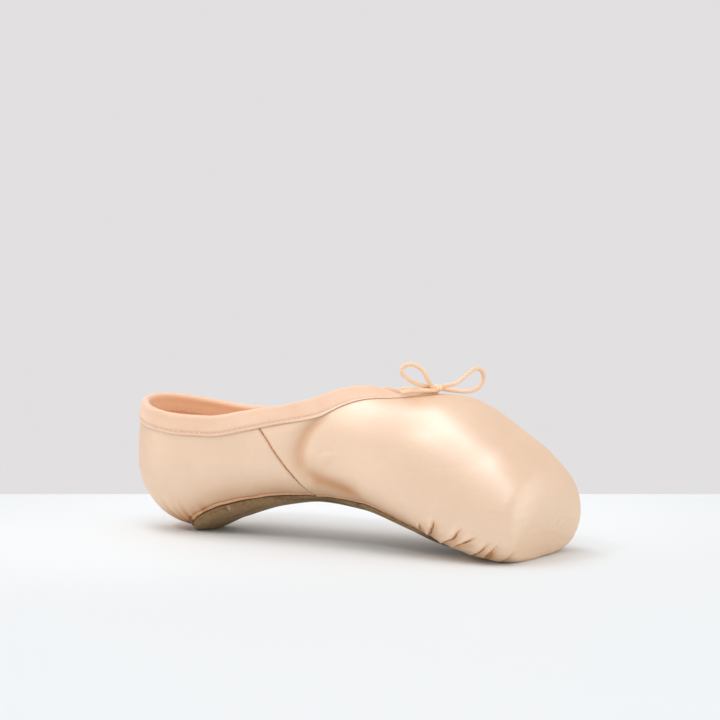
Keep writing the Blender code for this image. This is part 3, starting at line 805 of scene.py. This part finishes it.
def underside(x, y):
    """Points of the last's underside; x and y are arrays."""
    x, y = np.broadcast_arrays(np.asarray(x, float), np.asarray(y, float))
    dx = np.minimum(x - HEEL_R, -1e-9)
    r = np.hypot(dx, y)
    reach = 1 / np.hypot(dx / r / HEEL_R, y / r / float(last("half", HEEL_R)))
    xe = HEEL_R + reach * dx / r
    n = last("low_n", xe)
    h = last("wide_at", xe) * (1 - (1 - np.minimum(r / reach, 1) ** n) ** (1 / n))
    heel = np.stack([x, y, float(last("z", HEEL_R)) + h], -1)
    t = np.radians(last("tilt", x))
    n = last("low_n", x)
    h = last("wide_at", x) * (1 - (1 - np.minimum(np.abs(y) / last("half", x), 1) ** n) ** (1 / n))
    rest = np.stack([x + h * np.sin(t), y, last("z", x) + h * np.cos(t)], -1)
    return np.where((x < HEEL_R)[..., None], heel, rest)


def under(x, y, depth):
    """The same points moved along the surface's normal; depth > 0 is down and out."""
    e = 0.6
    a = underside(x + e, y) - underside(x - e, y)
    b = underside(x, y + e) - underside(x, y - e)
    n = np.cross(b, a)
    n /= np.linalg.norm(n, axis=-1, keepdims=True)
    return underside(x, y) + np.asarray(depth)[..., None] * n


def kd_of(points):
    tree = KDTree(len(points))
    for i, p in enumerate(points):
        tree.insert(p, i)
    tree.balance()
    return tree


def fold(u):
    """A pleat across its line: a slow rise, a crest near 0 and a steep, undercut fall."""
    rise = smooth((u + 1.0) / 1.05)
    fall = 1 - smooth((u - 0.05) / 0.35)
    return rise * fall - 0.35 * np.exp(-((u - 0.42) / 0.16) ** 2)


def features(points, normals):
    """How far each point of the outer skin moves along its normal, its painted shade and its dirt."""
    move = np.zeros(len(points))
    shade = np.zeros(len(points))
    for side in (-1.0, 1.0):
        flip = np.array([1.0, -side, 1.0])
        p, n = points * flip, normals * flip
        on = (p[:, 1] < 1e-6).astype(float)
        far = side > 0
        # side seam
        i, d, s, length = near_line(p, n, SIDE_SEAM, 14.0)
        if far:
            s = np.clip(s * 1.01, 0, 1)
        run = s * length
        ends = smooth((1 - s) / 0.05)
        groove = -0.50 * np.exp(-(d / 0.50) ** 2)
        front = np.where(d > 0, 0.42 * np.exp(-((d - 1.3) / 1.1) ** 2) + 0.30 * np.exp(-((d - 3.4) / 2.6) ** 2), 0.0)
        back = np.where(d < 0, 0.25 * np.exp(-((d + 1.6) / 1.2) ** 2), 0.0)
        pucker = np.where(d < 0, np.exp(-((d + 2.6) / 2.2) ** 2), 0.35 * np.exp(-((d - 2.2) / 1.2) ** 2))
        wobble = np.sin(2 * math.pi * run / 2.3 + 1.7 * np.sin(run / 5.1) + 0.25 * d + (1.1 if far else 0.0))
        move[i] += on[i] * ends * (groove + front + back + 0.08 * pucker * wobble)
        shade[i] += on[i] * ends * 0.85 * np.exp(-(d / 0.55) ** 2)
        # wing crease
        i, d, s, _ = near_line(p, n, WING_CREASE, 22.0)
        width = 2.6 + 3.0 * s
        ends = smooth(s / 0.15) * smooth((1 - s) / 0.12)
        depth = (1.35 + 0.85 * np.sin(math.pi * s)) * (0.85 if far else 1.0)
        move[i] += on[i] * ends * (-depth * np.exp(-(d / width) ** 2)
                                   + np.where(d > 0, 1.0, 0.25) * smooth((s - 0.12) / 0.45)
                                   * np.exp(-((np.abs(d) - 2.4 * width) / (1.6 * width)) ** 2))
        shade[i] += on[i] * smooth(s / 0.15) * smooth((1 - s) / 0.30) * 0.42 * np.exp(-((d + 0.1 * width) / (0.8 * width)) ** 2)
        # hollow along the lower wing, with painted shade in it
        i, d, s, _ = near_line(p, n, WING_LOW, 16.0)
        ends = smooth(s / 0.25) * smooth((1 - s) / 0.35)
        move[i] += on[i] * ends * -0.9 * np.exp(-(d / 4.2) ** 2)
        shade[i] += on[i] * ends * 0.60 * np.exp(-(d / 5.6) ** 2)
        # pleats at the toe
        for k, (line, height, width) in enumerate(PLEATS):
            line = np.array(line)
            if far:
                line = line + np.array([(-1.4, 0.9, -0.6, 1.3, 0.4, -1.0, 0.7, -0.5)[k], 0, 0])
                height *= (1.1, 0.85, 1.0, 1.2, 0.8, 1.05, 1.0, 0.9)[k]
            i, d, s, length = near_line(p, n, line, 7.0)
            w = width * (1 - 0.35 * s)
            env = smooth(s / 0.35) * (0.35 + 0.65 * smooth((1 - s) / 0.35)) * smooth((1 - s) / 0.06)
            d = d * PLEAT_SIDE
            u = d / w
            inside = (u > -1.0) & (u < 1.0)
            tuck = 0.3 + 0.7 * smooth((p[i][:, 2] - 2.0) / 7.0)
            move[i] += on[i] * np.where(inside, height * env * tuck * fold(u), 0.0)
            shade[i] += on[i] * env * 1.35 * np.exp(-((u - 0.36) / 0.12) ** 2) + on[i] * env * 0.40 * np.exp(-((u - 0.9) / 0.6) ** 2)
    # folds that lie flat under the box
    for y0, y1, depth in UNDER_FOLDS:
        xs = np.linspace(178.0, 211.0, 12)
        t = (xs - 178.0) / 33.0
        line = underside(xs, y0 + (y1 - y0) * t + 0.6 * np.sin(5 * t + y0))
        line[:, 2] = np.maximum(line[:, 2], 0.0)
        i, d, s, _ = near_line(points, normals, line, 4.0)
        env = smooth(s / 0.1) * smooth((1 - s) / 0.5)
        move[i] += -depth * env * np.exp(-(d / 0.7) ** 2)
        shade[i] += 0.6 * env * np.exp(-(d / 0.6) ** 2)
    # gathers round the heel seat
    low = np.where((points[:, 2] < 24) & (points[:, 0] < 60))[0]
    q = points[low]
    turn = np.where(q[:, 0] < HEEL_R, np.degrees(np.arctan2(np.abs(q[:, 1]), HEEL_R - q[:, 0] + 1e-9)),
                    90 + (q[:, 0] - HEEL_R) * 1.9) * np.sign(q[:, 1] + 1e-9)
    env = smooth((q[:, 2] - 1.2) / 3.5) * smooth((20 - q[:, 2]) / 14) * smooth((58 - q[:, 0]) / 14)
    ripple = np.sin(turn * 0.55 + 1.6 * np.sin(turn * 0.13 + 0.4) + 0.04 * q[:, 2]) + 0.6 * np.sin(turn * 0.31 + 2.0)
    move[low] += 0.26 * env * ripple
    shade[low] += 0.30 * env * np.clip(-ripple, 0, 1)
    # back seam
    back = np.where(points[:, 0] < 9)[0]
    d = points[back, 1]
    move[back] += -0.35 * np.exp(-(d / 0.5) ** 2) + 0.18 * np.exp(-((np.abs(d) - 1.6) / 0.9) ** 2)
    shade[back] += 0.5 * np.exp(-(d / 0.45) ** 2)
    # satin rolled up against the outsole's edge, with painted shade darkening it towards the edge
    outline = sole_outline()
    tree = kd_of(np.vstack([outline, outline * np.array([1, -1, 1])]))
    low = np.where(points[:, 2] < 34)[0]
    near = []
    for k in low:
        _, _, dist = tree.find(points[k])
        near.append(dist)
    near = np.array(near)
    inside = np.abs(points[low, 1]) < leaf_half("outsole", points[low, 0], *SOLE_X)
    wander = 0.25 * rough(points[low], 7.0, 9.0)
    move[low] += np.where(inside, -0.05, 0.60 * np.exp(-((near - 1.1) / 0.65) ** 2) * smooth(near / 0.6)
                          - 0.28 * np.exp(-((near - 2.3 - wander) / 0.5) ** 2))
    shade[low] += np.where(inside, 0.0, 0.75 * np.exp(-(near / 0.6) ** 2) + 0.38 * np.exp(-((near - 2.3 - wander) / 0.45) ** 2)
                           + 0.26 * np.exp(-(near / 5.0) ** 2) + 0.22 * np.exp(-(near / 12.0) ** 2))
    # painted shade: darker brown satin round the heel's lower edge
    shade[low] += 0.45 * smooth((40 - points[low, 0]) / 12) * smooth((13 - points[low, 2]) / 9) * (~inside)
    # soft unevenness of pasted cloth
    calm = 1 - 0.75 * smooth((points[:, 0] - 104) / 16) * smooth((points[:, 2] - 22) / 10)
    soft = 0.28 * calm * rough(points, 24.0, 1.0) + 0.12 * calm * rough(points, 9.0, 2.0)
    box = smooth((points[:, 0] - 165) / 20) * smooth((30 - points[:, 2]) / 16)
    flat = points * np.array([0.45, 0.6, 1.6])
    soft += 0.16 * box * rough(flat, 3.6, 3.0)
    waist = smooth((points[:, 0] - 34) / 10) * smooth((82 - points[:, 0]) / 14) * smooth((50 - points[:, 2]) / 12)
    soft += 0.10 * waist * rough(points * np.array([0.35, 1, 1]), 5.0, 4.0)
    move += soft
    # the tape covers the top edge
    tree = kd_of(np.vstack([RIM, RIM * np.array([1, -1, 1])])[::2])
    high = np.where(points[:, 2] > 40)[0]
    for k in high:
        _, _, dist = tree.find(points[k])
        if dist < 13:
            move[k] *= float(smooth((dist - 7.6) / 4.5))
    # scuffs on the platform's lower edge and the toe's underside
    dirt = 0.30 * smooth((points[:, 0] - 200) / 10) * smooth((3.0 - points[:, 2]) / 3.0)
    speck = np.linalg.norm((points - np.array([221.9, 6.4, 16.0])) / np.array([3.0, 0.9, 0.55]), axis=1)
    dirt += 0.9 * np.exp(-speck**2)
    return move, np.clip(shade, 0, 1), np.clip(dirt, 0, 1)


PLEAT_SIDE = 1.0


# ================================================================ upper
def build_upper():
    rows = skin(128)
    base, faces, index = welded(rows)
    normals = normals_of(base, faces)
    middle = np.array([MID_X, 0.0, 30.0])
    if ((base - middle) * normals).sum() < 0:
        faces = [f[::-1] for f in faces]
        normals = -normals
    move, shade, dirt = features(base, normals)
    outer = base + normals * move[:, None]
    outer[:, 2] = np.maximum(outer[:, 2], 0.02)

    rows_in = skin(36)
    base_in, faces_in, index_in = welded(rows_in)
    normals_in = normals_of(base_in, faces_in)
    if ((base_in - middle) * normals_in).sum() < 0:
        faces_in = [f[::-1] for f in faces_in]
        normals_in = -normals_in
    wall = np.zeros(len(base_in))
    for s, line in zip(SECTIONS, index_in):
        wall[line] = s.wall
    tree = kd_of(base)
    follow = np.array([move[tree.find(p)[1]] for p in base_in])
    relief = 0.15 * rough(base_in, 14.0, 6.0) + np.minimum(follow + 0.5, 0.0)
    inner = base_in - normals_in * (wall - relief)[:, None]

    start = len(outer)
    points = np.vstack([outer, inner])
    all_faces = [list(f) for f in faces] + [[start + k for k in f[::-1]] for f in faces_in]
    tip = next(i for i, s in enumerate(SECTIONS) if s.open <= 0)
    strips = []
    for i in range(tip):
        for col, col_in, flip in ((0, 0, False), (-1, -1, True)):
            f = []
            for k in (index[i, col], index[i + 1, col], start + index_in[i + 1, col_in], start + index_in[i, col_in]):
                if int(k) not in f:
                    f.append(int(k))
            if len(f) > 2:
                strips.append(f[::-1] if flip else f)
    all_faces += strips
    ob = add_object("upper_satin", world(points), all_faces, [SATIN, LINING])
    kinds = np.zeros(len(ob.data.polygons), np.int32)
    kinds[len(faces):] = 1
    ob.data.polygons.foreach_set("material_index", kinds)
    zeros = np.zeros(len(inner))
    set_attribute(ob, "shade", np.concatenate([shade, zeros]))
    set_attribute(ob, "dirt", np.concatenate([dirt, zeros]))
    outward(ob)
    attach(ob, "root")
    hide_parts("upper")
    return base, faces, normals, outer


BASE, BASE_FACES, BASE_NORMALS, OUTER = build_upper()
BASE_TREE = BVHTree.FromPolygons([Vector(p) for p in BASE], BASE_FACES)
BASE_KD = kd_of(BASE)
OUTER_TREE = BVHTree.FromPolygons([Vector(p) for p in OUTER], BASE_FACES)


def on_skin(p, tree=None):
    """Nearest point of the skin and its smooth normal."""
    q = (tree or BASE_TREE).find_nearest(Vector(p))[0]
    total = np.zeros(3)
    for _, k, dist in BASE_KD.find_n(q, 4):
        total += BASE_NORMALS[k] / (dist + 0.05)
    return np.array(q), total / np.linalg.norm(total)


# ================================================================ collar binding
# How far the tape stands above the rim beside the throat, near side and far side.
RISE_COLS = ("x", "near", "far")
TAPE_RISE = ((90.0, 0.0, 0.0), (98.0, 0.3, 0.0), (107.0, 1.0, 0.0), (113.0, 1.7, 0.0), (119.0, 2.3, 0.0),
             (126.0, 2.7, 0.0), (133.0, 2.9, 0.0), (138.0, 2.2, 0.0), (142.0, 1.5, 0.0), (146.0, 0.5, 0.3))


def build_binding():
    half = even(RIM, 0.62)
    rim = np.vstack([half, (half * np.array([1, -1, 1]))[::-1][1:-1]])
    count = len(rim)
    step = np.linalg.norm(np.roll(rim, -1, axis=0) - rim, axis=1)
    run = np.concatenate([[0], np.cumsum(step)])[:-1]
    along = np.roll(rim, -2, axis=0) - np.roll(rim, 2, axis=0)
    along /= np.linalg.norm(along, axis=1, keepdims=True)
    outside = ((9.0, 0.30), (8.95, 0.66), (8.6, 0.92), (8.1, 0.96), (7.7, 0.84), (7.35, 0.66), (7.0, 0.84), (6.5, 0.97),
               (5.6, 1.0), (4.6, 0.98), (3.6, 1.0), (2.9, 1.0), (2.35, 1.0), (1.8, 1.08))
    inside = ((1.8, 1.05), (2.35, 0.97), (3.2, 0.92), (4.6, 0.92), (5.8, 0.88), (6.6, 0.72), (7.1, 0.82), (7.7, 0.74), (8.0, 0.40))
    rings, stitches, stitches_in, uvs, shades = [], [], [], [], []
    inner_side = None
    next_stitch = 1.0
    v_run = None
    for i, r in enumerate(rim):
        _, n = on_skin(r)
        a = along[i]
        n = n - a * n.dot(a)
        n /= np.linalg.norm(n)
        away = np.cross(n, a)
        if i and away.dot(last_away) < 0:
            away = -away
        if i == 0 and away[2] > 0:
            away = -away
        last_away = away
        w = float(last("wall", min(max(r[0], 0.0), PLATFORM_X)))
        u = run[i]
        near_tip = min(max((r[0] - 112.0) / 40.0, 0.0), 1.0)
        size = 1.0 - 0.62 * near_tip
        lift = 1.0 - 0.55 * near_tip
        over = 1.15 - 0.65 * min(max((r[0] - 70.0) / 45.0, 0.0), 1.0)
        edge = 0.20 * noise.noise(Vector((u / 16.0, 0.3, 0.0))) + 0.07 * math.sin(2 * math.pi * u / 2.75)
        puck = 0.10 * math.sin(2 * math.pi * u / 2.75) + 0.10 * noise.noise(Vector((u / 5.0, 2.3, 0.0)))
        swell = 1 + 0.05 * noise.noise(Vector((u / 4.0, 7.7, 0.0))) + 0.03 * noise.noise(Vector((u / 1.6, 1.7, 0.0)))

        rise = float(np.interp(r[0], [c[0] for c in TAPE_RISE], [c[1 if r[1] < 0 else 2] for c in TAPE_RISE]))

        def at(s, depth):
            up = np.array([0.0, 0.0, rise * float(smooth(1 - max(s, 0.0) / (7.0 * size)))])
            if s <= 0.0:
                return r + away * s + n * depth + up
            q, m = on_skin(r + away * s)
            return q + m * depth + up

        ring, dark = [], []
        for s, o in outside:
            stretch = (s + edge * smooth((s - 5.0) / 4.0)) * size
            ring.append(at(stretch, (o + puck * math.exp(-((s - 7.2) / 1.6) ** 2)) * lift))
            dark.append(0.40 * math.exp(-((s - 7.35) / 0.35) ** 2) + (0.15 if s > 8.98 else 0.0)
                        - (0.5 * float(smooth((r[0] - 92.0) / 16.0)) if 8.3 < s < 8.97 else 0.0))
        for k in range(11):
            t = math.radians(8 + 164 * k / 10)
            ring.append(at(0.75 - (0.75 + over) * math.sin(t) * swell, -w / 2 + (w / 2 + 1.18 * swell * lift) * math.cos(t)))
            dark.append(0.0)
        for s, o in inside:
            ring.append(at(s, -w - o - 0.6 * puck * math.exp(-((s - 6.6) / 1.2) ** 2)))
            dark.append(0.15 * math.exp(-((s - 6.6) / 0.35) ** 2))
        for s, o in ((7.2, -w - 0.14), (4.0, -w - 0.14), (0.6, -w - 0.14), (-0.14, -w * 0.7), (-0.14, -w * 0.3),
                     (0.6, 0.14), (4.0 * size, 0.14), (7.6 * size, 0.14)):
            ring.append(at(s, o))
            dark.append(0.0)
        ring = np.array(ring)
        if inner_side is None:
            inner_side = [0.0] * len(outside) + [0.75 * float(smooth((k - 5) / 5.0)) for k in range(11)]
            inner_side += [0.8] * (len(ring) - len(inner_side))
        rings.append(ring)
        shades.append(dark)
        across = np.concatenate([[0], np.cumsum(np.linalg.norm(np.diff(ring, axis=0), axis=1))])
        uvs.append([(u * MM, v * MM) for v in across])
        if u >= next_stitch:
            slant = a * 0.96 + away * 0.10
            stitches.append((world(at(7.35 * size, 0.80 * lift)), slant / np.linalg.norm(slant), n, 1.75 * MM, 0.19 * MM))
            stitches_in.append((world(at(6.6, -w - 0.90)), a, -n, 1.7 * MM, 0.18 * MM))
            next_stitch += 2.75
    k = len(rings[0])
    points = np.vstack(rings)
    faces = []
    for i in range(count):
        i2 = (i + 1) % count
        for j in range(k):
            j2 = (j + 1) % k
            faces.append([i * k + j, i2 * k + j, i2 * k + j2, i * k + j2])
    ob = add_object("collar_tape", world(points), faces, [COTTON])
    set_uv(ob, [p for line in uvs for p in line])
    set_attribute(ob, "shade", np.clip([p for line in shades for p in line], 0, 1))
    set_attribute(ob, "lit", np.clip([-2 * p for line in shades for p in line], 0, 1))
    set_attribute(ob, "inner", inner_side * count)
    outward(ob)
    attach(ob, "root")
    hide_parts("collar_binding")
    p, f = pills(stitches + stitches_in)
    thread = add_object("collar_stitches", p, f, [TAPE_THREAD])
    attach(thread, "root")


build_binding()


# ================================================================ seam stitches
def build_seams():
    items = []
    for side in (-1, 1):
        line = even(through(np.array(SIDE_SEAM) * np.array([1, -side, 1]) * (1, 1, 1), 0.5), 0.9)
        for k in range(3, len(line) - 2, 1):
            if k % 2:
                continue
            q, n = on_skin(line[k], OUTER_TREE)
            a = line[k + 1] - line[k - 1]
            a = a - n * a.dot(n)
            a /= np.linalg.norm(a)
            items.append((world(q + n * 0.10), a, n, 1.72 * MM, 0.20 * MM))
    z = np.arange(6.0, 52.0, 1.9)
    for h in z:
        q, n = on_skin((-2.0, 0.0, h), OUTER_TREE)
        a = np.array([0.0, 0.0, 1.0])
        a = a - n * a.dot(n)
        a /= np.linalg.norm(a)
        items.append((world(q + n * 0.02), a, n, 1.5 * MM, 0.14 * MM))
    p, f = pills(items)
    ob = add_object("seam_stitches", p, f, [SEAM_THREAD])
    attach(ob, "root")


build_seams()


# ================================================================ leaves under the foot
def build_leaf(name, kind, x0, x1, near_depth, far_depth, mat, slot, nodes, nx, ny):
    steps = np.linspace(0, 1, nx + 1)
    xs = x0 + (x1 - x0) * (steps - 0.85 * np.sin(2 * math.pi * steps) / (2 * math.pi))
    rings = []
    v = np.sin(np.linspace(-1, 1, 2 * ny + 1) * math.pi / 2)
    for x in xs:
        w = float(leaf_half(kind, x, x0, x1))
        inside = np.minimum(np.minimum((1 - np.abs(v)) * w, min(x - x0, x1 - x)), 3.0) / 3.0
        inside = smooth(inside)
        ring = []
        for depth, order in ((near_depth(x, inside), slice(None)), (far_depth(x, inside), slice(None, None, -1))):
            p = under(np.full(len(v), x), v * w, depth)
            p[:, 2] = np.maximum(p[:, 2], np.maximum(0.0, -depth))
            ring.append(p[order])
        edge_hi = 0.5 * (ring[0][-1] + ring[1][0]) + np.array([0, 0.22, 0]) * min(1, w / 6)
        edge_lo = 0.5 * (ring[0][0] + ring[1][-1]) - np.array([0, 0.22, 0]) * min(1, w / 6)
        rings.append(np.vstack([ring[0], edge_hi, ring[1], edge_lo]))
    rows = np.array(rings)
    for i in (0, -1):
        centre = 0.5 * (rows[i][ny] + rows[i][3 * ny + 2])
        rows[i] = centre
    rows = np.concatenate([rows, rows[:, :1]], axis=1)
    points, faces, _ = welded(rows)
    ob = add_object(name, world(points), faces, [mat])
    outward(ob)
    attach(ob, "root")
    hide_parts(*nodes)
    return ob


def insole_gap(x):
    return 0.5 + 0.45 * min(max((x - 150.0) / 20.0, 0.0), 1.0)


build_leaf("outsole_suede", "outsole", *SOLE_X,
           lambda x, inside: 0.15 + 0 * inside,
           lambda x, inside: 0.35 + SOLE_SKIVE + (SOLE_THICK - SOLE_SKIVE + 0.15) * inside,
           SUEDE, "sole_leather", ("outsole",), 170, 18)
build_leaf("insole_sock", "insole", *INSOLE_X,
           lambda x, inside: -float(last("wall", x)) - insole_gap(x) + 0 * inside,
           lambda x, inside: -float(last("wall", x)) - insole_gap(x) - INSOLE_THICK * (0.55 + 0.45 * inside),
           SOCK, "sock", ("insole",), 130, 14)


# ================================================================ floor, backdrop and light
def plain(name, colour, roughness):
    m = Nodes(name, Roughness=roughness, Specular_IOR_Level=0.2)
    tone = m.noise(3.0, 2.0)
    m.colour(m.mix(m.remap(tone, 0.3, 0.7), colour, tuple(c * 0.985 for c in colour)))
    return m.material


VIEW_AZ = math.radians(32.38)
right = np.array([math.cos(VIEW_AZ), math.sin(VIEW_AZ)])
back = np.array([-math.sin(VIEW_AZ), math.cos(VIEW_AZ)])
SEAM_BACK = 0.176                      # the floor's far edge, behind the shoe's middle


def floor_point(a, b, z=0.0):
    p = right * a + back * b
    return (float(p[0] + TARGET[0]), float(p[1]), z)


floor = add_object("floor", [floor_point(-4, -5), floor_point(4, -5), floor_point(4, SEAM_BACK), floor_point(-4, SEAM_BACK)],
                   [[0, 1, 2, 3]], [plain("Pale floor", lin(234, 239, 239), 0.6)])

world_data = bpy.data.worlds.new("Studio")
bpy.context.scene.world = world_data
world_data.use_nodes = True
bg = world_data.node_tree.nodes["Background"]
bg.inputs["Color"].default_value = (*lin(226, 224, 225), 1)
bg.inputs["Strength"].default_value = 1.0


def area(name, place, long_axis, size, power, colour=(1, 1, 1)):
    """A softbox facing the shoe, its longer side along long_axis."""
    data = bpy.data.lights.new(name, "AREA")
    data.shape, data.size, data.size_y = "RECTANGLE", size[0], size[1]
    data.energy, data.color = power, colour
    ob = bpy.data.objects.new(name, data)
    bpy.context.scene.collection.objects.link(ob)
    z = (Vector(place) - Vector((0.02, 0, 0.05))).normalized()
    x = Vector(long_axis)
    x = (x - z * x.dot(z)).normalized()
    turn = Matrix((x, z.cross(x), z)).transposed()
    ob.matrix_world = Matrix.Translation(Vector(place)) @ turn.to_4x4()
    return ob


area("Strip", (-0.13, -0.25, 1.25), (0.79, -0.62, 0.0), (1.64, 0.50), 6.3, (0.97, 0.945, 1.0))
area("Side", (-1.6, -1.1, 0.35), (0.57, -0.82, 0.0), (0.9, 0.5), 1.5, (1.0, 0.98, 0.95))
area("Fill", (1.6, 0.2, 0.6), (0.1, 1.0, 0.0), (2.2, 1.4), 6.0)
snoot = bpy.data.objects.new("Snoot", bpy.data.lights.new("Snoot", "SPOT"))
snoot.data.energy, snoot.data.spot_size, snoot.data.spot_blend, snoot.data.shadow_soft_size = 42.0, math.radians(10.0), 1.0, 0.16
bpy.context.scene.collection.objects.link(snoot)
snoot.location = (-0.40, -0.72, 1.02)
snoot.rotation_euler = (Vector((-0.066, 0.012, 0.058)) - snoot.location).to_track_quat("-Z", "Y").to_euler()

view = bpy.context.scene.view_settings
view.view_transform = "Standard"
view.look = "None"
view.exposure = 0.0
